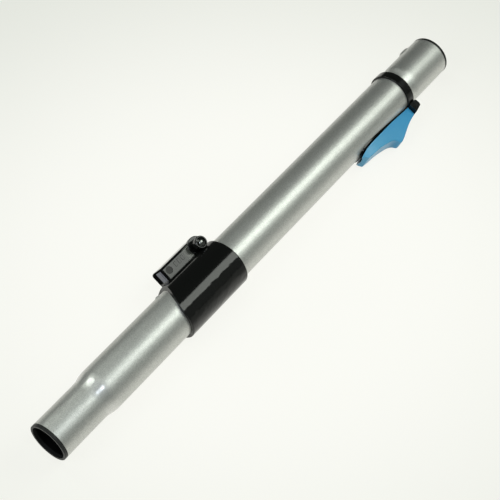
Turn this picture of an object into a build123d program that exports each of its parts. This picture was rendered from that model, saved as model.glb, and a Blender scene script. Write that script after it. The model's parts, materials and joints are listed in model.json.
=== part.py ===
from build123d import *
from math import asin, atan2, cos, degrees, radians, sin
import os

os.makedirs("parts", exist_ok=True)

# Telescopic vacuum-cleaner tube, pushed in, lying on its side as it comes to rest.
# Millimetres. +X runs along the tube from the floor-tool end to the handle end, +Z is up,
# and the origin is the centre of the floor-tool end.

# Clearances
press_gap = 0.02
running_gap = 0.08
free_gap = 0.4

# Outer tube
outer_od = 39.0
spigot_step = 2.0
tube_wall = 0.8
spigot_length = 44.0
spigot_taper = 14.4

# Ring in the spigot's end
end_lip = 2.5
lip_round = 0.4
end_ring_wall = 1.28
end_ring_depth = 20.0

# End collar
collar_x = 455.6
collar_length = 8.6
collar_wall = 1.6
collar_end_wall = 2.2
collar_round = 0.7
block_width = 20.0
block_overhang = 0.6
block_height = 8.9
block_fall = 2.0
block_round = 2.4
saddle_wall = 1.0
tray_wall = 1.2
tray_height = 1.7
tray_inset = 9.0

# Inner tube and its socket
slide_gap = 1.1
socket_rise = 1.75
socket_exposed = 59.1
flare_length = 11.0
flare_start_gap = 1.2
liner_wall = 0.88
liner_length = 45.0
socket_rim = 1.8
tail_gap = 5.0

# Guides and seals
bush_length = 38.0
seal_length = 4.0
tail_guide_length = 22.0
tail_seal_length = 6.0
tail_seal_depth = 0.5

# Lock groove with its row of notches
groove_width = 8.0
groove_depth = 1.6
notch_pitch = 27.0
notch_count = 12
notch_length = 7.0
notch_width = 6.0
notch_depth = 0.8

# Release lever: heights are above the outer tube's surface
lever_length = 79.5
lever_wall = 1.6
lever_top_ratio = 0.62
lever_skirt = 6.0
nose_from_tail = 34.0
nose_height = 18.0
nose_radius = 1.8
nose_width = 12.0
tail_height = 9.0
slope_height = 12.8
rest_height = 8.6
tip_height = 7.0
tip_lean = 6.5
flank_slope = 0.12
tail_slope = 0.12
nose_slope = 0.25
front_slope = 0.45
rest_slope = 0.1
tip_slope = 0.35
lever_wide = 23.6
lever_wide_from_tip = 25.0
lever_tail_width = 13.0
lever_tip_width = 7.0
lever_round = 1.0
press_angle = 2.2

# Lever pivot, spring and tooth
pivot_from_tail = 27.0
pivot_height = 5.2
pin_diameter = 3.0
snap_width = 2.4
rib_width = 6.0
rib_length = 10.0
ear_width = 2.3
ear_wall = 1.7
tail_solid = 12.0
tooth_length = 4.0
tooth_width = 5.0
tooth_from_tail = 6.0
tooth_seat = 3.0
spring_leaf = 0.5
spring_width = 6.0
spring_foot = 10.0

# Parking clamp: a split sleeve with a hollow rail beside it, closed by a screw
clamp_x = 143.7
clamp_length = 70.0
clamp_wall = 2.9
clamp_turn = 169.0
clamp_slit = 0.6
clamp_round = 0.8
sweep_radius = 41.0
sweep_start = 7.0
rail_length = 48.0
rail_end_gap = 1.2
rail_width = 20.0
rail_set = 1.7
rail_height = 11.4
rail_corner = 7.0
rail_round = 2.4
rail_skin = 1.4
lug_width = 3.2
pad_radius = 8.0
pad_rise = 0.8
pad_round = 0.5
boss_wall = 1.2
boss_round = 0.9
boss_length = 10.2
screw_height = 4.5
screw_from_end = 8.0
screw_diameter = 3.2
head_diameter = 8.6
head_height = 3.6
head_dome = 1.6
head_stand = 0.8
nut_width = 5.6
nut_height = 2.5
mark_diameter = 6.4
mark_pitch = 24.5
mark_from_end = 6.4
mark_depth = 0.4

# Pressed domes in the tubes
stop_dome_radius = 3.2
stop_dome_rise = 0.9
stop_dome_inset = 2.0
socket_dome_radius = 5.0
socket_dome_rise = 1.6
socket_dome_length = 12.6
socket_dome_inset = 18.0

# Worked-out radii and stations
outer_r = outer_od / 2
outer_bore_r = outer_r - tube_wall
spigot_r = outer_r - spigot_step
spigot_bore_r = spigot_r - tube_wall
end_ring_bore_r = spigot_bore_r - press_gap - end_ring_wall
inner_r = outer_bore_r - slide_gap
inner_bore_r = inner_r - tube_wall
socket_r = inner_r + socket_rise
liner_r = socket_r - tube_wall - press_gap
socket_bore_r = liner_r - liner_wall
collar_r = outer_r + collar_wall
clamp_r = outer_r + clamp_wall
rail_reach = clamp_r + rail_height
screw_reach = clamp_r + screw_height
saddle_r = outer_r + saddle_wall
pin_r = pin_diameter / 2
taper_end = spigot_length + spigot_taper
collar_end = collar_x + collar_length
tube_end = collar_end - collar_end_wall
mouth_x = collar_end + socket_exposed
flare_start = collar_end + flare_start_gap
flare_end = flare_start + flare_length
tail_x = taper_end + tail_gap
seal_x = tube_end - seal_length
bush_x = seal_x - bush_length
lever_tail_x = collar_x - free_gap
lever_tip_x = lever_tail_x - lever_length
pivot_x = lever_tail_x - pivot_from_tail
pivot_h = outer_r + pivot_height
nose_x = lever_tail_x - nose_from_tail
nose_h = outer_r + nose_height
tooth_x = lever_tail_x - tooth_from_tail
tooth_top = saddle_r + free_gap + tooth_seat
window_length = tooth_length + 4 * free_gap
groove_floor = inner_r - groove_depth
groove_end = seal_x
clamp_end = clamp_x + clamp_length
rail_end = clamp_end - rail_end_gap
rail_x = rail_end - rail_length
screw_x = rail_end - screw_from_end
slit_offset = rail_set + lug_width + clamp_slit / 2
nut_offset = rail_set + lug_width + clamp_slit + rail_skin
head_r = head_diameter / 2
boss_r = head_r + running_gap + boss_wall

# The tube lies on its sleeve and collar, rolled until the lever's nose meets the floor.
nose_reach = (nose_h**2 + (nose_width / 2) ** 2) ** 0.5
lever_drop = degrees(asin(collar_r / nose_reach) - atan2(nose_width / 2, nose_h))
lever_angle = 180 + lever_drop
clamp_angle = lever_angle - clamp_turn
socket_dome_angle = lever_angle - 180


def outward(angle):
    """Unit vector out from the tube's axis at a roll angle, counted from +Y towards +Z."""
    return Vector(0, cos(radians(angle)), sin(radians(angle)))


def side_plane(angle):
    """Plane through the axis: x along the tube, y outward at the roll angle."""
    return Plane((0, 0, 0), x_dir=(1, 0, 0), z_dir=Vector(1, 0, 0).cross(outward(angle)))


def plan_plane(angle, height):
    """Plane square to the outward direction: x along the tube, seen from outside."""
    return Plane(outward(angle) * height, x_dir=(1, 0, 0), z_dir=outward(angle))


def section_plane(x, angle):
    """Plane square to the tube at a station, with y outward at the roll angle."""
    return Plane((x, 0, 0), x_dir=outward(angle).cross(Vector(1, 0, 0)), z_dir=(1, 0, 0))


def ease(x_0, r_0, x_1, r_1):
    """Smooth step between two radii, level at both ends."""
    middle = (x_0 + x_1) / 2
    return Bezier((x_0, r_0), (middle, r_0), (middle, r_1), (x_1, r_1))


def block(x_0, x_1, y_0, y_1):
    """Rectangle between two corners of the sketch in hand."""
    with Locations(((x_0 + x_1) / 2, (y_0 + y_1) / 2)):
        Rectangle(x_1 - x_0, y_1 - y_0)


lever_side = side_plane(lever_angle)
clamp_side = side_plane(clamp_angle)


# Outer tube: straight barrel, eased down to the spigot
stop_dome_x = clamp_x + stop_dome_inset
stop_dome_centre = outer_r + stop_dome_rise - stop_dome_radius
with BuildPart() as outer_tube:
    with BuildSketch(lever_side):
        with BuildLine():
            Line((end_lip, spigot_r), (spigot_length, spigot_r))
            ease(spigot_length, spigot_r, taper_end, outer_r)
            Line((taper_end, outer_r), (tube_end, outer_r))
            Line((tube_end, outer_r), (tube_end, outer_bore_r))
            Line((tube_end, outer_bore_r), (taper_end, outer_bore_r))
            ease(taper_end, outer_bore_r, spigot_length, spigot_bore_r)
            Line((spigot_length, spigot_bore_r), (end_lip, spigot_bore_r))
            Line((end_lip, spigot_bore_r), (end_lip, spigot_r))
        make_face()
    revolve(axis=Axis.X)
    # Pressed stop at the parking sleeve's swept edge
    with Locations(clamp_side.location):
        with Locations((stop_dome_x, stop_dome_centre, 0)):
            Sphere(stop_dome_radius)
    with BuildSketch(section_plane(stop_dome_x, clamp_angle)):
        Circle(outer_bore_r)
    extrude(amount=2 * stop_dome_radius, both=True, mode=Mode.SUBTRACT)
    with Locations(clamp_side.location):
        with Locations((stop_dome_x, stop_dome_centre, 0)):
            Sphere(stop_dome_radius - tube_wall, mode=Mode.SUBTRACT)
    # Window for the locking tooth
    with BuildSketch(plan_plane(lever_angle, 0)):
        with Locations((tooth_x, 0)):
            Rectangle(window_length, groove_width)
    extrude(amount=outer_od, mode=Mode.SUBTRACT)
outer_tube.part.label = "outer_tube"
export_step(outer_tube.part, "parts/outer_tube.step")


# Moulded ring that covers the spigot's cut edge
with BuildPart() as nozzle_end_ring:
    with BuildSketch(lever_side):
        block(-lip_round, end_lip, end_ring_bore_r, spigot_r)
        block(0, end_lip + end_ring_depth, end_ring_bore_r, spigot_bore_r - press_gap)
    revolve(axis=Axis.X)
    end_edges = nozzle_end_ring.edges().filter_by(GeomType.CIRCLE).group_by(Axis.X)[0]
    fillet(end_edges, radius=lip_round)
nozzle_end_ring.part.label = "nozzle_end_ring"
export_step(nozzle_end_ring.part, "parts/nozzle_end_ring.step")


def lever_plan(inset, ratio):
    """Outline of the lever seen from outside: widths scaled by a ratio, drawn in by an inset."""
    tail_half = ratio * lever_tail_width / 2 - inset
    wide_half = ratio * lever_wide / 2 - inset
    tip_half = ratio * lever_tip_width / 2 - inset
    end_x = lever_tail_x - inset
    tip_x = lever_tip_x + inset
    with BuildSketch() as plan:
        with BuildLine():
            edge = Spline(
                (end_x, tail_half),
                (lever_tip_x + lever_wide_from_tip, wide_half),
                (tip_x, tip_half),
                tangents=[(-1, flank_slope), (-tip_slope, -1)],
            )
            mirror(edge, about=Plane.XZ)
            Line((end_x, tail_half), (end_x, -tail_half))
            Line((tip_x, tip_half), (tip_x, -tip_half))
        make_face()
    return plan.sketch


def lever_profile(inset):
    """Side outline of the lever, drawn in by an inset: tail, slope, nose, finger rest and tip."""
    base = outer_r - lever_skirt
    top = outer_r - inset
    front = nose_x + inset
    tail_top = (lever_tail_x - inset, top + tail_height)
    slope = (lever_tail_x - nose_from_tail / 2, top + slope_height)
    nose_back = (nose_x + nose_radius, nose_h - inset)
    nose_front = (front - nose_radius, nose_h - nose_radius - inset)
    rest_start = (front - nose_from_tail / 3, top + rest_height + nose_height / 10)
    rest_end = (nose_x - 0.6 * nose_from_tail, top + rest_height)
    tip_top = (lever_tip_x + tip_lean + inset, top + tip_height)
    tip_low = (lever_tip_x + inset, outer_r - saddle_wall)
    with BuildSketch() as profile:
        with BuildLine():
            Spline(tail_top, slope, nose_back, tangents=[(-1, tail_slope), (-1, nose_slope)])
            TangentArc(nose_back, nose_front, tangent=(-1, nose_slope))
            rest_tangents = [(-front_slope, -1), (-1, -rest_slope)]
            Spline(nose_front, rest_start, rest_end, tip_top, tangents=rest_tangents)
            Polyline(tip_top, tip_low, (tip_low[0], base), (tail_top[0], base), tail_top)
        make_face()
    return profile.sketch


def lever_form(inset):
    """Tapered body of the lever, or of its hollow when drawn in by an inset."""
    with BuildPart() as form:
        with BuildSketch(plan_plane(lever_angle, outer_r - lever_skirt)):
            add(lever_plan(inset, 1))
        with BuildSketch(plan_plane(lever_angle, nose_h + nose_radius)):
            add(lever_plan(inset, lever_top_ratio))
        loft(ruled=True)
        with BuildSketch(lever_side):
            add(lever_profile(inset))
        extrude(amount=lever_wide, both=True, mode=Mode.INTERSECT)
    return form.part


# Saddle under the lever: a curved plate on the tube, with a low tray round the spring
with BuildPart() as saddle:
    with BuildSketch(plan_plane(lever_angle, outer_r - lever_skirt)):
        add(lever_plan(2 * free_gap, 1))
        block(tooth_x, collar_end, -lever_tail_width / 2, lever_tail_width / 2)
    extrude(amount=2 * lever_skirt)
    with BuildSketch(lever_side):
        block(lever_tip_x + tip_lean / 2, collar_end, outer_r + press_gap, saddle_r)
    revolve(axis=Axis.X, mode=Mode.INTERSECT)
tray_x = lever_tip_x + tray_inset
tray_end = pivot_x - rib_length / 2 - 4 * free_gap
tray_width = spring_width + 2 * (tray_wall + 2 * free_gap)
with BuildPart() as spring_tray:
    with BuildSketch(plan_plane(lever_angle, outer_r - lever_skirt)):
        with Locations(((tray_x + tray_end) / 2, 0)):
            RectangleRounded(tray_end - tray_x, tray_width, 3 * tray_wall)
            Rectangle(tray_end - tray_x - 2 * tray_wall, tray_width - 2 * tray_wall, mode=Mode.SUBTRACT)
    extrude(amount=lever_skirt + saddle_wall + tray_height)
    with BuildSketch(section_plane(lever_tip_x, lever_angle)):
        Circle(outer_r + press_gap)
    extrude(amount=lever_length, mode=Mode.SUBTRACT)

# End collar: ring with an inner end wall, stop block, saddle and two ears for the pivot pin
ear_r = pin_r + ear_wall
with BuildPart() as collar:
    with BuildSketch(lever_side):
        block(collar_x, collar_end, outer_r + press_gap, collar_r)
        block(tube_end + press_gap, collar_end, inner_r + free_gap, collar_r)
    revolve(axis=Axis.X)
    fillet(collar.edges().filter_by(GeomType.CIRCLE).sort_by(SortBy.RADIUS)[-2:], radius=collar_round)
    with BuildSketch(lever_side) as block_outline:
        with BuildLine():
            Polyline(
                (collar_x, outer_r),
                (collar_x, outer_r + block_height),
                (collar_end + block_overhang, outer_r + block_height - block_fall),
                (collar_end + block_overhang, outer_r + saddle_wall),
                (collar_end - collar_round, outer_r),
                close=True,
            )
        make_face()
        top_corner = block_outline.vertices().group_by(Axis.X)[-1].sort_by(Axis.Y)[-1]
        fillet(top_corner, radius=block_round)
    extrude(amount=block_width / 2, both=True)
    add(saddle.part)
    add(spring_tray.part)
    for side in (1, -1):
        with BuildSketch(lever_side.offset(side * (rib_width / 2 + free_gap))):
            block(pivot_x - ear_r, pivot_x + ear_r, outer_r + press_gap, pivot_h)
            with Locations((pivot_x, pivot_h)):
                Circle(ear_r)
                Circle(pin_r + press_gap, mode=Mode.SUBTRACT)
        extrude(amount=side * ear_width)
    with BuildSketch(plan_plane(lever_angle, outer_r - lever_skirt)):
        with Locations((tooth_x, 0)):
            Rectangle(window_length, groove_width)
    extrude(amount=lever_skirt + 2 * saddle_wall, mode=Mode.SUBTRACT)
collar.part.label = "collar"
export_step(collar.part, "parts/collar.step")


# Guide bush in the mouth of the outer tube, with the tooth's window
with BuildPart() as guide_bush:
    with BuildSketch(lever_side):
        block(bush_x, seal_x - press_gap, inner_r + running_gap, outer_bore_r - press_gap)
    revolve(axis=Axis.X)
    with BuildSketch(plan_plane(lever_angle, 0)):
        with Locations((tooth_x, 0)):
            Rectangle(window_length, groove_width)
    extrude(amount=outer_od, mode=Mode.SUBTRACT)
guide_bush.part.label = "guide_bush"
export_step(guide_bush.part, "parts/guide_bush.step")


# Wiper seal between the bush and the collar's end wall
with BuildPart() as wiper_seal:
    with BuildSketch(lever_side):
        block(seal_x, tube_end, inner_r + running_gap, outer_bore_r - press_gap)
    revolve(axis=Axis.X)
wiper_seal.part.label = "wiper_seal"
export_step(wiper_seal.part, "parts/wiper_seal.step")


# Cross pin of the lever
pin_half = rib_width / 2 + free_gap + ear_width
with BuildPart() as lever_pivot_pin:
    with BuildSketch(lever_side):
        with Locations((pivot_x, pivot_h)):
            Circle(pin_r)
    extrude(amount=pin_half, both=True)
lever_pivot_pin.part.label = "lever_pivot_pin"
export_step(lever_pivot_pin.part, "parts/lever_pivot_pin.step")


# Leaf spring: its foot lies on the saddle, its free end lifts the finger end
foot_x = pivot_x - rib_length
foot_end_x = foot_x - spring_foot
foot_h = saddle_r + press_gap + spring_leaf / 2
lift_x = lever_tip_x + tip_lean + lever_wall + spring_width
lift_h = outer_r + tip_height - lever_wall - free_gap
with BuildPart() as lever_spring:
    with BuildSketch(lever_side):
        with BuildLine():
            Line((foot_x, foot_h), (foot_end_x, foot_h))
            Spline((foot_end_x, foot_h), (lift_x, lift_h), tangents=[(-1, 0), (-1, 0)])
        trace(line_width=spring_leaf)
    extrude(amount=spring_width / 2, both=True)
lever_spring.part.label = "lever_spring"
export_step(lever_spring.part, "parts/lever_spring.step")


# Release lever: drafted shell, hollow underneath, with a pivot rib and a solid tail
pivot_axis = Axis(lever_side.from_local_coords((pivot_x, pivot_h, 0)), lever_side.z_dir)
with BuildPart() as lever_sweep:
    with BuildSketch(section_plane(lever_tip_x - lever_skirt, lever_angle)):
        Circle(saddle_r + free_gap)
    extrude(amount=lever_length + 2 * lever_skirt)
with BuildPart() as lever_hollow:
    add(lever_form(lever_wall))
    with BuildSketch(lever_side):
        block(lever_tail_x - tail_solid, collar_end, 0, nose_h)
        block(pivot_x - rib_length / 2, pivot_x + rib_length / 2, pivot_h - ear_r, nose_h)
    extrude(amount=rib_width / 2, both=True, mode=Mode.SUBTRACT)
    with BuildSketch(lever_side):
        block(lever_tail_x - tail_solid, collar_end, 0, nose_h)
    extrude(amount=lever_wide, both=True, mode=Mode.SUBTRACT)
with BuildPart() as release_lever:
    add(lever_form(0))
    top_edges = release_lever.edges().filter_by(
        lambda e: lever_side.to_local_coords(e.center()).Y > outer_r + tip_height / 2
    )
    fillet(top_edges, radius=lever_round)
    add(lever_hollow.part, mode=Mode.SUBTRACT)
    add(lever_sweep.part, mode=Mode.SUBTRACT)
    add(lever_sweep.part.rotate(pivot_axis, -press_angle), mode=Mode.SUBTRACT)
    # Snap seat for the pin, open towards the tube
    with BuildSketch(lever_side):
        with Locations((pivot_x, pivot_h)):
            Circle(pin_r + running_gap)
        block(pivot_x - snap_width / 2, pivot_x + snap_width / 2, pivot_h - nose_height, pivot_h)
    extrude(amount=rib_width, both=True, mode=Mode.SUBTRACT)
    # Seat for the tooth
    with BuildSketch(plan_plane(lever_angle, 0)):
        with Locations((tooth_x, 0)):
            Rectangle(tooth_length + 2 * press_gap, tooth_width + 2 * press_gap)
    extrude(amount=tooth_top + press_gap, mode=Mode.SUBTRACT)
release_lever.part.label = "release_lever"
export_step(release_lever.part, "parts/release_lever.step")


# Locking tooth in the lever's tail, held just clear of the groove's floor
with BuildPart() as locking_tooth:
    with BuildSketch(plan_plane(lever_angle, groove_floor + free_gap)):
        with Locations((tooth_x, 0)):
            Rectangle(tooth_length, tooth_width)
    extrude(amount=tooth_top - groove_floor - free_gap)
locking_tooth.part.label = "locking_tooth"
export_step(locking_tooth.part, "parts/locking_tooth.step")


# Inner tube: straight, flared to the handle socket, with the lock groove on the lever's side
channel_floor = groove_floor - tube_wall
notch_floor = groove_floor - notch_depth
notch_middle = tooth_x - notch_count * notch_pitch / 2
socket_steel_end = mouth_x - socket_rim
dome_x = mouth_x - socket_dome_inset
dome_sink = socket_dome_radius - socket_dome_rise
dome_half = socket_dome_length / 2 - (socket_dome_radius**2 - dome_sink**2) ** 0.5
dome_centre = socket_r + socket_dome_rise - socket_dome_radius
dome_side = side_plane(socket_dome_angle)
with BuildPart() as inner_tube:
    with BuildSketch(lever_side):
        with BuildLine():
            Line((tail_x, inner_r), (flare_start, inner_r))
            ease(flare_start, inner_r, flare_end, socket_r)
            Line((flare_end, socket_r), (socket_steel_end, socket_r))
            Line((socket_steel_end, socket_r), (socket_steel_end, socket_r - tube_wall))
            Line((socket_steel_end, socket_r - tube_wall), (flare_end, socket_r - tube_wall))
            ease(flare_end, socket_r - tube_wall, flare_start, inner_bore_r)
            Line((flare_start, inner_bore_r), (tail_x, inner_bore_r))
            Line((tail_x, inner_bore_r), (tail_x, inner_r))
        make_face()
    revolve(axis=Axis.X)
    # Channel wall, notch pockets, then the groove cut out of them
    with BuildSketch(section_plane(tail_x, lever_angle)):
        channel_half = groove_width / 2 + tube_wall
        block(-channel_half, channel_half, channel_floor, groove_floor + tube_wall / 2)
    extrude(amount=groove_end - tail_x)
    with BuildSketch(plan_plane(lever_angle, notch_floor - tube_wall)):
        with Locations((notch_middle, 0)):
            with GridLocations(notch_pitch, 1, notch_count + 1, 1):
                Rectangle(notch_length + 2 * tube_wall, notch_width + 2 * tube_wall)
    extrude(amount=notch_depth + tube_wall)
    with BuildSketch(section_plane(tail_x, lever_angle)):
        block(-groove_width / 2, groove_width / 2, groove_floor, outer_r)
    extrude(amount=groove_end - tube_wall - tail_x, mode=Mode.SUBTRACT)
    with BuildSketch(plan_plane(lever_angle, notch_floor)):
        with Locations((notch_middle, 0)):
            with GridLocations(notch_pitch, 1, notch_count + 1, 1):
                Rectangle(notch_length, notch_width)
    extrude(amount=2 * notch_depth, mode=Mode.SUBTRACT)
    # Pressed dome near the socket's mouth
    dome_skins = ((socket_dome_radius, Mode.ADD), (socket_dome_radius - tube_wall, Mode.SUBTRACT))
    for radius, mode in dome_skins:
        with Locations(dome_side.location):
            with Locations((dome_x - dome_half, dome_centre, 0), (dome_x + dome_half, dome_centre, 0)):
                Sphere(radius, mode=mode)
        with BuildSketch(section_plane(dome_x, socket_dome_angle)):
            with Locations((0, dome_centre)):
                Circle(radius)
        extrude(amount=dome_half, both=True, mode=mode)
        with BuildSketch(section_plane(flare_end, lever_angle)):
            Circle(socket_r - tube_wall)
        extrude(amount=mouth_x - flare_end, mode=Mode.SUBTRACT)
inner_tube.part.label = "inner_tube"
export_step(inner_tube.part, "parts/inner_tube.step")


# Plastic liner of the socket, with a rim over the steel edge
liner_x = mouth_x - liner_length
with BuildPart() as socket_liner:
    with BuildSketch(lever_side):
        block(liner_x, mouth_x, socket_bore_r, liner_r)
        block(mouth_x - socket_rim + press_gap, mouth_x, socket_bore_r, socket_r)
    revolve(axis=Axis.X)
    rim_edges = socket_liner.edges().filter_by(GeomType.CIRCLE).group_by(Axis.X)[-1]
    fillet(rim_edges.sort_by(SortBy.RADIUS)[-1], radius=socket_rim / 3)
socket_liner.part.label = "socket_liner"
export_step(socket_liner.part, "parts/socket_liner.step")


# Guide ring and seal at the tail of the inner tube
guide_x = tail_x + tube_wall
guide_end = guide_x + tail_guide_length
guide_r = outer_bore_r - running_gap
tail_seal_x = (guide_x + guide_end - tail_seal_length) / 2
tail_seal_end = tail_seal_x + tail_seal_length
tail_seal_r = guide_r - tail_seal_depth
with BuildPart() as tail_guide:
    with BuildSketch(lever_side):
        block(guide_x, tail_seal_x, inner_r + press_gap, guide_r)
        block(tail_seal_x, tail_seal_end, inner_r + press_gap, tail_seal_r)
        block(tail_seal_end, guide_end, inner_r + press_gap, guide_r)
    revolve(axis=Axis.X)
tail_guide.part.label = "tail_guide"
export_step(tail_guide.part, "parts/tail_guide.step")
with BuildPart() as tail_seal:
    with BuildSketch(lever_side):
        block(tail_seal_x + press_gap, tail_seal_end - press_gap, tail_seal_r + press_gap, guide_r)
    revolve(axis=Axis.X)
tail_seal.part.label = "tail_seal"
export_step(tail_seal.part, "parts/tail_seal.step")


# Parking clamp: the hollow rail and the screw's pad are made first, then joined to the sleeve
rail_out = outward(clamp_angle)
near_face = clamp_side.offset(-rail_set)
far_face = near_face.offset(-rail_width)
slit_face = near_face.offset(-lug_width)
nut_face = clamp_side.offset(-nut_offset)
boss_face = near_face.offset(boss_length)
with BuildPart() as hollow_rail:
    with BuildSketch(far_face) as rail_outline:
        block(rail_x, rail_end, 0, rail_reach)
        fillet(rail_outline.vertices().group_by(Axis.Y)[-1].sort_by(Axis.X)[-1], radius=rail_corner)
    extrude(amount=rail_width)
    end_edges = hollow_rail.faces().sort_by(Axis.X)[0].edges()
    long_edges = hollow_rail.faces().sort_by(Axis((0, 0, 0), rail_out))[-1].edges()
    fillet(end_edges + long_edges.filter_by(Axis.X), radius=rail_round)
    with BuildSketch(far_face):
        block(rail_x + rail_skin, rail_end - rail_corner / 2, -free_gap, rail_reach - rail_skin)
    extrude(amount=rail_width + rail_set - nut_offset, mode=Mode.SUBTRACT)
with BuildPart() as screw_pad:
    with BuildSketch(slit_face):
        with Locations((screw_x, screw_reach)):
            Circle(pad_radius)
    extrude(amount=lug_width + pad_rise)
    pad_rims = screw_pad.edges().filter_by(GeomType.CIRCLE)
    fillet(pad_rims.sort_by(Axis((0, 0, 0), near_face.z_dir))[-1], radius=pad_round)
    with BuildSketch(near_face):
        with Locations((screw_x, screw_reach)):
            Circle(boss_r)
    extrude(amount=boss_length)
    boss_rims = screw_pad.edges().filter_by(GeomType.CIRCLE)
    fillet(boss_rims.sort_by(Axis((0, 0, 0), near_face.z_dir))[-1], radius=boss_round)
sweep_top = clamp_r + free_gap
sweep_back = sweep_radius - (sweep_radius**2 - (sweep_top + sweep_start) ** 2) ** 0.5
with BuildPart() as parking_clamp:
    with BuildSketch(clamp_side):
        block(clamp_x, clamp_end, 0, clamp_r)
    revolve(axis=Axis.X)
    outer_rims = parking_clamp.edges().filter_by(GeomType.CIRCLE).sort_by(SortBy.RADIUS)[-2:]
    fillet(outer_rims, radius=clamp_round)
    # The sleeve's lower edge sweeps back to the rail
    with BuildSketch(clamp_side):
        with BuildLine():
            TangentArc((clamp_x, -sweep_start), (clamp_x + sweep_back, sweep_top), tangent=(0, 1))
            Polyline(
                (clamp_x + sweep_back, sweep_top),
                (clamp_x - sweep_back, sweep_top),
                (clamp_x - sweep_back, -sweep_start),
                (clamp_x, -sweep_start),
            )
        make_face()
    extrude(amount=2 * clamp_r, both=True, mode=Mode.SUBTRACT)
    add(hollow_rail.part)
    add(screw_pad.part)
    # Bore for the tube, and the slit between the lug and the rail
    with BuildSketch(section_plane(clamp_x - free_gap, clamp_angle)):
        Circle(outer_r + press_gap)
        block(slit_offset - clamp_slit / 2, slit_offset + clamp_slit / 2, 0, 2 * rail_reach)
    extrude(amount=clamp_length + 2 * free_gap, mode=Mode.SUBTRACT)
    # Screw hole and the seat of its head
    with BuildSketch(nut_face):
        with Locations((screw_x, screw_reach)):
            Circle(screw_diameter / 2 + running_gap)
    extrude(amount=nut_offset + boss_length, mode=Mode.SUBTRACT)
    with BuildSketch(boss_face):
        with Locations((screw_x, screw_reach)):
            Circle(head_r + running_gap)
    extrude(amount=head_stand - head_height, mode=Mode.SUBTRACT)
    # Two shallow round marks in the rail's near face
    with BuildSketch(near_face):
        with Locations((rail_x + mark_from_end + mark_pitch / 2, (clamp_r + rail_reach) / 2)):
            with GridLocations(mark_pitch, 1, 2, 1):
                Circle(mark_diameter / 2)
    extrude(amount=-mark_depth, mode=Mode.SUBTRACT)
parking_clamp.part.label = "parking_clamp"
export_step(parking_clamp.part, "parts/parking_clamp.step")


# Clamp screw with a domed head, and its nut in the rail's hollow
screw_top = boss_face.offset(head_stand).from_local_coords((screw_x, screw_reach))
screw_side = Plane(screw_top, x_dir=(1, 0, 0), z_dir=rail_out * -1)
screw_end = head_stand + boss_length - rail_set + nut_offset + nut_height + pad_rise
with BuildPart() as clamp_screw:
    with BuildSketch(screw_side):
        with BuildLine():
            TangentArc((0, 0), (head_r, -head_dome), tangent=(1, 0))
            Polyline(
                (head_r, -head_dome),
                (head_r, press_gap - head_height),
                (screw_diameter / 2, press_gap - head_height),
                (screw_diameter / 2, -screw_end),
                (0, -screw_end),
                (0, 0),
            )
        make_face()
    revolve(axis=Axis(screw_top, near_face.z_dir))
clamp_screw.part.label = "clamp_screw"
export_step(clamp_screw.part, "parts/clamp_screw.step")
with BuildPart() as clamp_nut:
    with BuildSketch(nut_face.offset(-press_gap)):
        with Locations((screw_x, screw_reach)):
            RegularPolygon(nut_width / 2, 6, major_radius=False)
            Circle(screw_diameter / 2 + press_gap, mode=Mode.SUBTRACT)
    extrude(amount=-nut_height)
clamp_nut.part.label = "clamp_nut"
export_step(clamp_nut.part, "parts/clamp_nut.step")
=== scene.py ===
# %% [markdown]
# # A telescopic vacuum tube in a light studio
#
# The CAD part comes in as a fixed frame of named nodes, and this lesson dresses it. It sets the camera
# at the photo's viewpoint, gives each piece a procedural finish, adds small mouldings that are too
# fine for the CAD, and lights it all on a pale floor.
#
# Lengths are in metres. +X runs along the tube to the handle end and +Z is up.

# %% Load the frame
import bpy
import json
import math
from mathutils import Matrix, Vector


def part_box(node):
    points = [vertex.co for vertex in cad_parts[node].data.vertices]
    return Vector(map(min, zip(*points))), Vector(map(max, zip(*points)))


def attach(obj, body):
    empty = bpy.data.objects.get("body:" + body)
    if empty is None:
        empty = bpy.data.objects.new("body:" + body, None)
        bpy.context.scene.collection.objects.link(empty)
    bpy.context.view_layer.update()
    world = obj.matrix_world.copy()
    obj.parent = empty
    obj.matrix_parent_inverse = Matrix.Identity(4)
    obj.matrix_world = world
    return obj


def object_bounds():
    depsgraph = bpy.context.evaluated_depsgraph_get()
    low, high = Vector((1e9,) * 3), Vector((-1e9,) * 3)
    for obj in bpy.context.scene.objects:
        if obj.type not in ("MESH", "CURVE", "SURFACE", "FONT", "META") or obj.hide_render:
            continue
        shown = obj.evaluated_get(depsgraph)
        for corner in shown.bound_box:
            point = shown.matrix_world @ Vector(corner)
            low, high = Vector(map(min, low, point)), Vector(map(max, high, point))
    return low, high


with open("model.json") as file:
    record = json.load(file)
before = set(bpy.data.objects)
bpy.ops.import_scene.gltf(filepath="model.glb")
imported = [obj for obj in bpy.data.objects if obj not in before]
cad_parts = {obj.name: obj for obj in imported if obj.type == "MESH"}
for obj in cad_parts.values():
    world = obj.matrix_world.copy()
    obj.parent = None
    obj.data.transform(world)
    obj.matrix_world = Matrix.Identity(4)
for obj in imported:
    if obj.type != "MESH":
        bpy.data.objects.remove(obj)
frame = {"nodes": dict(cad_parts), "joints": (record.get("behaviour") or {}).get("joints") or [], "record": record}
nodes = frame["nodes"]
cad_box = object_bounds()
print("loaded", len(nodes), "nodes in a box of", [round(v, 4) for v in cad_box[1] - cad_box[0]])

# %% [markdown]
# ## Directions round the tube
#
# Everything off the axis is easiest to say as a roll angle round +X, counted from +Y towards +Z.
# The lever's roll could be typed in, but reading it from the hinge lets the picture follow the part
# if the part is ever turned. The eye and the rail are then so many degrees from the lever.

# %% Roll angles
def outward(degrees):
    """Unit vector out from the axis at a roll angle."""
    a = math.radians(degrees)
    return Vector((0, math.cos(a), math.sin(a)))


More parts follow.
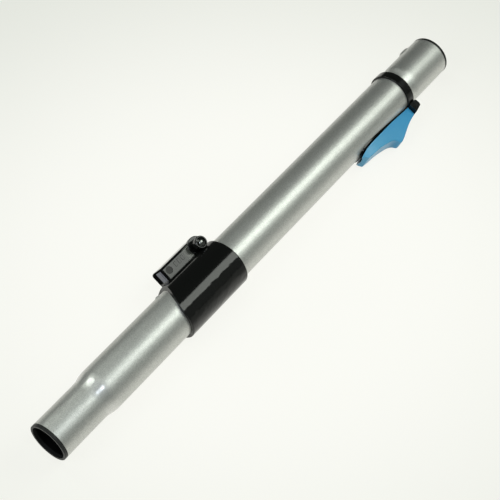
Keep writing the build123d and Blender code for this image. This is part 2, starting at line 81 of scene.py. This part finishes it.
EYE_FROM_LEVER = 85
RAIL_FROM_LEVER = 169
hinge = next(j for j in frame["joints"] if j["name"] == "lever_pivot")
lever_roll = math.degrees(math.atan2(hinge["pos_m"][2], hinge["pos_m"][1])) % 360
eye_roll = lever_roll - EYE_FROM_LEVER
rail_roll = lever_roll - RAIL_FROM_LEVER
along = Vector((1, 0, 0))
to_eye = outward(eye_roll)
to_lever = outward(eye_roll + 90)
rail_out = outward(rail_roll)
rail_near = along.cross(rail_out)
print("lever at", round(lever_roll, 2), "eye at", round(eye_roll, 2), "rail at", round(rail_roll, 2))

# %% [markdown]
# ## The camera
#
# The photo's straight edges and end circles fix the lens and the eye. The eye is 0.918 m from the
# axis and 0.279 m before the floor-tool end. It looks along the tube and down on it. The three rows
# below are the picture's right, down and forward directions, written in the tube's own directions.

# %% Camera
EYE_DISTANCE = 0.91845
EYE_STATION = -0.27874
LENS = 91.07
away = -to_eye
right = 0.60899 * along + 0.71294 * to_lever - 0.34765 * away
down = -0.62390 * along + 0.70120 * to_lever + 0.34507 * away
ahead = 0.48978 * along + 0.00676 * to_lever + 0.87182 * away
camera_data = bpy.data.cameras.new("camera")
camera_data.lens = LENS
camera_data.sensor_width = 36
camera = bpy.data.objects.new("camera", camera_data)
turn = Matrix((right, -down, -ahead)).transposed().to_4x4()
camera.matrix_world = Matrix.Translation(EYE_STATION * along + EYE_DISTANCE * to_eye) @ turn
bpy.context.scene.collection.objects.link(camera)
bpy.context.scene.camera = camera
bpy.context.scene.view_settings.view_transform = "Standard"
print("camera at", [round(v, 3) for v in camera.matrix_world.translation])

# %% [markdown]
# ## Shader arithmetic
#
# A finish is easier to read as a sum than as a web of nodes. `Sock` wraps one output socket, so
# `a * 0.3 + b` makes the Math nodes by itself. `make` is the only place where a node is made.

# %% Sockets that can be added and multiplied
class Sock:
    """One output socket of a node tree, usable in arithmetic."""

    def __init__(self, tree, out=None):
        self.tree = tree
        self.out = out

    def make(self, kind, inputs=None, output=0, **settings):
        """Adds a node, joins or sets its inputs, and returns one of its outputs."""
        node = self.tree.nodes.new(kind)
        for key, value in settings.items():
            setattr(node, key, value)
        for key, value in (inputs or {}).items():
            if isinstance(value, Sock):
                self.tree.links.new(value.out, node.inputs[key])
            else:
                node.inputs[key].default_value = value
        return Sock(self.tree, node.outputs[output] if node.outputs else None)

    def math(self, operation, *values):
        return self.make("ShaderNodeMath", dict(enumerate(values)), operation=operation)

    def __add__(self, other):
        return self.math("ADD", self, other)

    def __radd__(self, other):
        return self.math("ADD", other, self)

    def __sub__(self, other):
        return self.math("SUBTRACT", self, other)

    def __rsub__(self, other):
        return self.math("SUBTRACT", other, self)

    def __mul__(self, other):
        return self.math("MULTIPLY", self, other)

    def __rmul__(self, other):
        return self.math("MULTIPLY", other, self)

    def clamp(self, low=0.0, high=1.0):
        return self.math("MINIMUM", self.math("MAXIMUM", self, low), high)

    def step(self, low, high):
        """Smooth 0 to 1 between two values."""
        ends = {"Value": self, "From Min": low, "From Max": high}
        return self.make("ShaderNodeMapRange", ends, interpolation_type="SMOOTHSTEP")

    def mix(self, first, second):
        """Colour between two colours, with self as the factor."""
        ends = [c if isinstance(c, Sock) else (*c, 1.0) for c in (first, second)]
        return self.make("ShaderNodeMix", {"Factor": self, 6: ends[0], 7: ends[1]}, 2, data_type="RGBA")

    def noise(self, scale, detail=2.0):
        return self.make("ShaderNodeTexNoise", {"Vector": self, "Scale": scale, "Detail": detail})

    def cells(self, scale):
        """A random grey for each cell of a fine mosaic."""
        colour = self.make("ShaderNodeTexVoronoi", {"Vector": self, "Scale": scale}, "Color")
        return self.make("ShaderNodeSeparateColor", {"Color": colour})

    def stretch(self, x, y, z):
        return self.make("ShaderNodeMapping", {"Vector": self, "Scale": (x, y, z)})

    def towards(self, direction):
        """How far a point lies in a direction, in metres."""
        ends = {0: self, 1: tuple(direction)}
        return self.make("ShaderNodeVectorMath", ends, "Value", operation="DOT_PRODUCT")

    def bump(self, depth, strength=1.0):
        """A normal from a height, with the depth in metres."""
        return self.make("ShaderNodeBump", {"Height": self, "Distance": depth, "Strength": strength})


def material(recipe):
    """Material whose Principled inputs are what the recipe returns for the object's coordinates."""
    made = bpy.data.materials.new(recipe.__name__)
    made.use_nodes = True
    made.node_tree.nodes.clear()
    start = Sock(made.node_tree)
    inputs = recipe(start.make("ShaderNodeTexCoord", output="Object"))
    matt = inputs.pop("Matt", None)
    surface = start.make("ShaderNodeBsdfPrincipled", inputs)
    if matt:
        dull = start.make("ShaderNodeBsdfDiffuse", {"Color": (0.006, 0.006, 0.006, 1)})
        surface = start.make("ShaderNodeMixShader", {0: matt, 1: surface, 2: dull})
    start.make("ShaderNodeOutputMaterial", {"Surface": surface})
    return made


print("shader arithmetic ready")

# %% [markdown]
# ## Silver paint
#
# The tubes are steel with a metallic paint: fine flakes under a thin clear film. A plain grey metal
# would look like polished pipe. Here a mosaic of sub-millimetre cells tints and tilts each flake,
# a slow cloud keeps long stretches from looking flat, and a coat gives the film's own shine.
#
# Two masks along the tube finish it. The film lies thicker on the drawn-down shoulder near the
# floor-tool end, where the glints are brightest. Over about the last millimetre before the socket's
# mouth the colour is near-black and not metallic, which makes the dark line of the black rim broader.

# %% Silver paint
SHOULDER = (0.040, 0.052, 0.062)
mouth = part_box("inner_tube")[1].x
DARK_BAND_EDGE = (mouth - 0.0013, mouth - 0.0011)


def silver_paint(p):
    flake = p.cells(2600)
    cloud = p.noise(55, 3)
    grain = p.noise(1400, 2)
    station = p.towards(along)
    shoulder = station.step(*SHOULDER[0:2]) - station.step(*SHOULDER[1:3])
    paint = (flake * 0.85 + cloud * 0.15).mix((0.44, 0.45, 0.43), (0.69, 0.70, 0.67))
    # the last millimetre before the socket's mouth is coloured near-black and not metallic
    dark_band = station.step(*DARK_BAND_EDGE)
    return {
        "Base Color": dark_band.mix(paint, (0.012, 0.013, 0.012)),
        "Metallic": 0.88 - dark_band * 0.88,
        "Roughness": 0.40 + grain * 0.12,
        "Normal": (flake * 0.5 + grain).bump(0.00004, 0.4),
        "Coat Weight": 0.08 + shoulder * 0.92,
        "Coat Roughness": 0.17,
        "Coat IOR": 2.0,
    }


finishes = {"silver_paint": material(silver_paint)}
print("silver paint mixed")

# %% [markdown]
# ## Collar and end rings
#
# The collar is a semi-gloss black moulding. Polished black with no relief mirrors a lamp like glass,
# so a slow swell bends the reflection a little, as a moulded skin does.
#
# The rings in the two ends are the same plastic, but rubbed dull by the pieces that are pushed on
# and off. Only the floor-tool end's lip is rubbed pale. Past it, and over the whole socket liner, the
# colour is painted near-black as painted shade, since little light gets into a bore, and a lighter
# black would look like a shallow cup.

# %% Collar and end rings
LIP_END = (0.0022, 0.0034)


def black_plastic(p):
    cloud = p.noise(40, 4)
    swell = p.noise(120, 2)
    return {
        "Base Color": cloud.mix((0.003, 0.0035, 0.003), (0.006, 0.0065, 0.006)),
        "Roughness": 0.08 + cloud * 0.08,
        "Normal": swell.bump(0.0002, 0.5),
        "IOR": 1.4,
    }


def rubbed_plastic(p):
    cloud = p.noise(90, 3)
    rubbed = cloud.mix((0.016, 0.017, 0.016), (0.030, 0.031, 0.030))
    # painted shade: past the lip both rings are painted near-black, because their bores get little light
    painted_bore_shade = p.towards(along).step(*LIP_END)
    return {
        "Base Color": painted_bore_shade.mix(rubbed, (0.002, 0.002, 0.002)),
        "Roughness": 0.38 + cloud * 0.15,
        "Specular IOR Level": 0.2,
    }


for recipe in (black_plastic, rubbed_plastic):
    finishes[recipe.__name__] = material(recipe)
print("collar and ring plastic mixed")

# %% [markdown]
# ## Parking sleeve
#
# The sleeve is glossy black with a little sink in its skin. The sink is stronger on the lever's
# side, so the lamp's stripe is straight on one edge and ragged on the other.
#
# Its rail has three zones: a grey panel on its end with a dull black frame, two shallow round marks
# in its near face, and a lighter patch on that face beside the screw's pad. The panel's bluish grey
# is a painted reflection, and the patch's greenish grey is a painted sheen. Separate objects would
# need cuts in the CAD mesh, so each zone is a mask. Three distances are enough for all of them: the
# station along the tube, the height out from the axis, and the depth away from the eye.

# %% Parking sleeve
RAIL_LENGTH = 0.048
RAIL_END_GAP = 0.0012
RAIL_ROUND = 0.0024
RAIL_SET = 0.0017
RAIL_HEIGHT = 0.0114
SLEEVE_RADIUS = 0.0224
rail_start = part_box("parking_clamp")[1].x - RAIL_END_GAP - RAIL_LENGTH
rail_top = SLEEVE_RADIUS + RAIL_HEIGHT

RAGGED_SIDE = (-0.001, 0.004)
RAIL_FOOT = (SLEEVE_RADIUS, SLEEVE_RADIUS + 0.0008)
END_ZONE = (rail_start + RAIL_ROUND * 0.6, rail_start + RAIL_ROUND)
END_FACE = (rail_start + 0.0001, rail_start + 0.0003)
FRAME_TOP = (rail_top - 0.0018, rail_top - 0.0012)
FRAME_BACK = (0.0115, 0.0130)
FACE_FRONT = (RAIL_SET - 0.0002, RAIL_SET - 0.0001)
FACE_BACK = (RAIL_SET + 0.0001, RAIL_SET + 0.0003)
MARK_FLOOR = (RAIL_SET + 0.0005, RAIL_SET + 0.0006)
PAD_SIDE = (rail_start + 0.024, rail_start + 0.032)


def sleeve_plastic(p):
    station = p.towards(along)
    height = p.towards(rail_out)
    depth = -1 * p.towards(rail_near)
    on_rail = height.step(*RAIL_FOOT)
    end = 1 - station.step(*END_ZONE)
    frame_mask = (height.step(*FRAME_TOP) + depth.step(*FRAME_BACK)).clamp()
    # painted reflection: the rail's end panel, inside its frame, is painted bluish grey
    panel = (1 - station.step(*END_FACE)) * (1 - frame_mask)
    below_face = depth.step(*FACE_BACK)
    face = depth.step(*FACE_FRONT) - below_face
    mark = below_face - depth.step(*MARK_FLOOR)
    by_pad = station.step(*PAD_SIDE)
    # painted sheen: the near face and its marks beside the screw's pad are painted greenish grey
    painted_sheen = (face + mark * 0.75) * by_pad * on_rail
    # glossy black, with the end panel's painted reflection
    black_and_painted_panel = (panel * on_rail).mix((0.0045, 0.005, 0.0045), (0.155, 0.16, 0.20))
    sink = p.stretch(0.7, 1, 1).noise(150, 2) * p.towards(to_lever).step(*RAGGED_SIDE)
    return {
        "Base Color": painted_sheen.mix(black_and_painted_panel, (0.10, 0.105, 0.09)),
        "Roughness": 0.10 + p.noise(40, 4) * 0.06,
        "Normal": (sink + p.noise(60, 2) * 0.3).bump(0.0006, 0.8),
        "IOR": 1.4,
        "Matt": (end - panel + mark * 0.6 * (1 - by_pad)).clamp() * on_rail,
    }


finishes["sleeve_plastic"] = material(sleeve_plastic)
print("rail starts at", round(rail_start, 4), "and its top is", round(rail_top, 4), "from the axis")

# %% [markdown]
# ## Blue lever
#
# The lever is through-coloured plastic with a satin skin. One blue would read as paint, so the
# colour drifts a little over the piece. It is also painted lighter towards the finger end, as painted
# light for the light that falls on that end.

# %% Blue lever
lever_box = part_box("release_lever")


def blue_plastic(p):
    cloud = p.noise(70, 3)
    grain = p.noise(1600, 2)
    tail = p.towards(along).step(lever_box[0].x, lever_box[1].x)
    # painted light: lighter towards the finger end, mixed with a random drift of the blue
    painted_finger_light_and_drift = (tail * 0.7 + cloud * 0.5).clamp()
    return {
        "Base Color": painted_finger_light_and_drift.mix((0.115, 0.43, 0.66), (0.042, 0.310, 0.59)),
        "Roughness": 0.30 + grain * 0.12,
        "Normal": grain.bump(0.00003, 0.4),
        "Specular IOR Level": 0.35,
    }


finishes["blue_plastic"] = material(blue_plastic)
print("lever from", round(lever_box[0].x, 4), "to", round(lever_box[1].x, 4))

# %% [markdown]
# ## Hidden and small pieces
#
# Bush, guides, seals, pin, spring and nut show only when the tube comes apart or is seen from
# behind. They still get a finish of their own: slippery pale plastic, matt rubber, drawn steel with
# lines along it, and the glossy black of the clamp's screw.

# %% Hidden and small pieces
def guide_plastic(p):
    cloud = p.noise(60, 2)
    tint = cloud.mix((0.42, 0.42, 0.40), (0.52, 0.52, 0.50))
    return {"Base Color": tint, "Roughness": 0.35 + cloud * 0.15}


def seal_rubber(p):
    cloud = p.noise(300, 3)
    tint = cloud.mix((0.012, 0.012, 0.012), (0.03, 0.03, 0.03))
    return {"Base Color": tint, "Roughness": 0.6 + cloud * 0.2}


def plain_steel(p):
    line = p.stretch(40, 900, 900).noise(1, 3)
    tint = line.mix((0.42, 0.42, 0.42), (0.58, 0.58, 0.57))
    return {"Base Color": tint, "Metallic": 1.0, "Roughness": 0.25 + line * 0.15}


def black_steel(p):
    cloud = p.noise(200, 3)
    tint = cloud.mix((0.10, 0.105, 0.10), (0.15, 0.155, 0.15))
    return {"Base Color": tint, "Metallic": 1.0, "Roughness": 0.07 + cloud * 0.05}


for recipe in (guide_plastic, seal_rubber, plain_steel, black_steel):
    finishes[recipe.__name__] = material(recipe)

own_finish = {
    "parking_clamp": "sleeve_plastic",
    "nozzle_end_ring": "rubbed_plastic",
    "socket_liner": "rubbed_plastic",
}
for part in frame["record"]["subparts"]:
    node = nodes[part["node"]]
    node.data.materials.clear()
    node.data.materials.append(finishes[own_finish.get(part["node"], part["material_slot"])])
print("finishes:", ", ".join(sorted(finishes)))

# %% [markdown]
# ## Bars and ribs of the rail
#
# The rail's near face carries a short row of low bars between its two round marks, and its open far
# side is stiffened by thin cross ribs. Both are the same idea, a block repeated along the
# tube, so one Geometry Nodes group makes them: a line of points, a block on each, realized into one
# mesh. The group's inputs are the row's sizes, and a Bevel modifier softens the edges.

# %% A group that makes a row of blocks
def row_group():
    """Node group: blocks of one size in a straight row along X."""
    tree = bpy.data.node_groups.new("row_of_blocks", "GeometryNodeTree")
    inputs = {
        "Count": "NodeSocketInt",
        "Pitch": "NodeSocketFloat",
        "First": "NodeSocketVector",
        "Size": "NodeSocketVector",
        "Roll": "NodeSocketFloat",
        "Finish": "NodeSocketMaterial",
    }
    for name, kind in inputs.items():
        tree.interface.new_socket(name, in_out="INPUT", socket_type=kind)
    tree.interface.new_socket("Geometry", in_out="OUTPUT", socket_type="NodeSocketGeometry")
    start = Sock(tree)
    given = {name: start.make("NodeGroupInput", output=name) for name in inputs}
    step = start.make("ShaderNodeCombineXYZ", {"X": given["Pitch"]})
    turn = start.make("ShaderNodeCombineXYZ", {"X": given["Roll"]})
    line = {"Count": given["Count"], "Start Location": given["First"], "Offset": step}
    points = start.make("GeometryNodeMeshLine", line, mode="OFFSET")
    block = start.make("GeometryNodeMeshCube", {"Size": given["Size"]})
    placed = {"Points": points, "Instance": block, "Rotation": turn}
    rows = start.make("GeometryNodeInstanceOnPoints", placed)
    solid = start.make("GeometryNodeRealizeInstances", {"Geometry": rows})
    painted = start.make("GeometryNodeSetMaterial", {"Geometry": solid, "Material": given["Finish"]})
    start.make("NodeGroupOutput", {"Geometry": painted})
    return tree


row_of_blocks = row_group()
print("group with", len(row_of_blocks.nodes), "nodes")

# %% [markdown]
# A modifier's inputs are set by each socket's identifier. The evaluated object is then turned into a
# plain mesh, so that the piece has its place in its vertices and no live modifier.

# %% Rows on the rail
def row(name, edge, **sizes):
    """A row of blocks with rounded edges, as a plain mesh that rides on the outer tube."""
    piece = bpy.data.objects.new(name, bpy.data.meshes.new(name))
    bpy.context.scene.collection.objects.link(piece)
    nodes_step = piece.modifiers.new("row", "NODES")
    nodes_step.node_group = row_of_blocks
    for socket in row_of_blocks.interface.items_tree:
        if socket.in_out == "INPUT":
            nodes_step[socket.identifier] = sizes[socket.name]
    bevel = piece.modifiers.new("edges", "BEVEL")
    bevel.width = edge
    bevel.segments = 2
    seen = piece.evaluated_get(bpy.context.evaluated_depsgraph_get())
    piece.data = bpy.data.meshes.new_from_object(seen)
    piece.modifiers.clear()
    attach(piece, "outer")
    print(name, "has", len(piece.data.polygons), "faces")
    return piece


MARK_FROM_END = 0.0064
MARK_PITCH = 0.0245
FACE_SINK = 0.0002
face_middle = rail_top - RAIL_HEIGHT / 2
roll = math.radians(rail_roll)

bar_count = 3
bar_pitch = 0.0042
bar_size = Vector((0.0024, 0.0044, 0.0008))
bar_x = rail_start + MARK_FROM_END + MARK_PITCH / 2 - bar_pitch * (bar_count - 1) / 2
bar_first = bar_x * along + face_middle * rail_out - (RAIL_SET + FACE_SINK) * rail_near
row("rail_bars", 0.0002, Count=bar_count, Pitch=bar_pitch, First=bar_first, Size=bar_size,
    Roll=roll, Finish=finishes["sleeve_plastic"])

RAIL_SKIN = 0.0014
rib_count = 3
rib_pitch = 0.009
rib_reach = (0.0205, rail_top - RAIL_SKIN / 2)
rib_depth = (0.0066, 0.0205)
rib_size = Vector((0.0012, rib_reach[1] - rib_reach[0], rib_depth[1] - rib_depth[0]))
rib_first = (rail_start + rib_pitch) * along
rib_first += sum(rib_reach) / 2 * rail_out - sum(rib_depth) / 2 * rail_near
row("rail_ribs", 0.0002, Count=rib_count, Pitch=rib_pitch, First=rib_first, Size=rib_size,
    Roll=roll, Finish=finishes["black_plastic"])

# %% [markdown]
# ## Floor
#
# The floor is a plain pale sheet. A lit sheet alone would come out grey, and a glowing one would lose
# the shadow, so the camera sees mostly an even warm white, which fades towards the corners, and for
# an eighth the sheet as the lamps light it. Mirror rays see the white alone, dimmer on the lever's
# side where the room is dark. All other rays see matt paper, so the floor sends light back.

# %% Floor
FLOOR_Z = cad_box[0].z
FLOOR_HALF = 12
LIT_SHARE = 0.12
GLOW = 1.0
PICTURE_MIDDLE = (0.24, 0.0, FLOOR_Z)
corners = [(x * FLOOR_HALF, y * FLOOR_HALF, FLOOR_Z) for x, y in ((-1, -1), (1, -1), (1, 1), (-1, 1))]
floor_mesh = bpy.data.meshes.new("floor")
floor_mesh.from_pydata(corners, [], [(0, 1, 2, 3)])
floor = bpy.data.objects.new("floor", floor_mesh)
bpy.context.scene.collection.objects.link(floor)

paper = bpy.data.materials.new("paper")
paper.use_nodes = True
paper.node_tree.nodes.clear()
start = Sock(paper.node_tree)
place = start.make("ShaderNodeTexCoord", output="Object")
to_middle = {0: place, 1: PICTURE_MIDDLE}
off_middle = start.make("ShaderNodeVectorMath", to_middle, "Value", operation="DISTANCE")
tint = off_middle.step(0.12, 0.50).mix((1.0, 1.0, 0.945), (0.796, 0.815, 0.752))
dim = place.towards((0, -1, 0)).step(0.04, 0.12).mix((1.0, 1.0, 0.93), (0.45, 0.46, 0.42))
rays = ("Is Camera Ray", "Is Glossy Ray", "Is Transmission Ray")
camera_ray, glossy_ray, clear_ray = (start.make("ShaderNodeLightPath", output=name) for name in rays)
matt = start.make("ShaderNodeBsdfDiffuse", {"Color": (0.9, 0.9, 0.86, 1)})
glow = start.make("ShaderNodeEmission", {"Color": glossy_ray.mix(tint, dim), "Strength": GLOW})
direct = (camera_ray * (1 - LIT_SHARE) + glossy_ray + clear_ray).clamp()
shown = start.make("ShaderNodeMixShader", {0: direct, 1: matt, 2: glow})
start.make("ShaderNodeOutputMaterial", {"Surface": shown})
floor_mesh.materials.append(paper)
print("floor at", round(FLOOR_Z, 4))

# %% [markdown]
# ## Light
#
# A round, shiny tube shows a lamp as a stripe. Each lamp is therefore placed by its station along the
# tube and by its roll, from which the stripe's place can be worked out: a lamp so many degrees
# round from the eye shows at half that angle.
#
# - key: the soft panel beyond the handle end that makes the long bright stripe
# - spot_left and spot_right: far, narrow lamps for the two short glints on the shoulder
# - low_left: lifts the left side of the floor-tool end alone
# - fill and window: broad and weak, for the right and the left flank
# - sky: behind the floor-tool end, lighting the rail's end panel, whose grey is also painted on

# %% Lamps
LAMP_TINT = (0.95, 1.0, 0.925)
WINDOW_TINT = (0.86, 0.92, 1.0)
LAMP_AIM = 0.26


def lamp(name, station, distance, roll, length, width, power, tint=LAMP_TINT):
    """Soft lamp at a station along the tube and a roll angle round it, facing the tube."""
    data = bpy.data.lights.new(name, "AREA")
    data.shape = "RECTANGLE"
    data.size, data.size_y = length, width
    data.energy = power
    data.color = tint
    made = bpy.data.objects.new(name, data)
    spot = station * along + distance * outward(roll)
    back = (spot - LAMP_AIM * along).normalized()
    side = back.cross(along).normalized()
    facing = Matrix((side.cross(back), side, back)).transposed().to_4x4()
    made.matrix_world = Matrix.Translation(spot) @ facing
    bpy.context.scene.collection.objects.link(made)
    print(name, "at", [round(v, 2) for v in spot])


lamp("key", 0.87, 1.15, eye_roll + 1.6, 0.70, 0.56, 6.2)
lamp("spot_left", 0.12, 2.0, eye_roll - 64, 0.12, 1.10, 4.2)
lamp("spot_right", 0.085, 2.0, eye_roll, 0.15, 0.50, 4.6, WINDOW_TINT)
lamp("low_left", 0.38, 2.0, eye_roll - 74, 0.50, 0.90, 1.6)
lamp("fill", 0.40, 1.0, eye_roll + 34, 1.6, 0.78, 0.8)
lamp("window", 0.26, 1.2, eye_roll - 37, 0.60, 0.70, 1.0)
lamp("sky", -0.9, 1.1, eye_roll - 40, 0.80, 0.80, 7.5, WINDOW_TINT)

world = bpy.data.worlds.new("room")
bpy.context.scene.world = world
world.use_nodes = True
room = world.node_tree.nodes["Background"]
room.inputs["Color"].default_value = (0.95, 1.0, 0.92, 1)
room.inputs["Strength"].default_value = 0.06
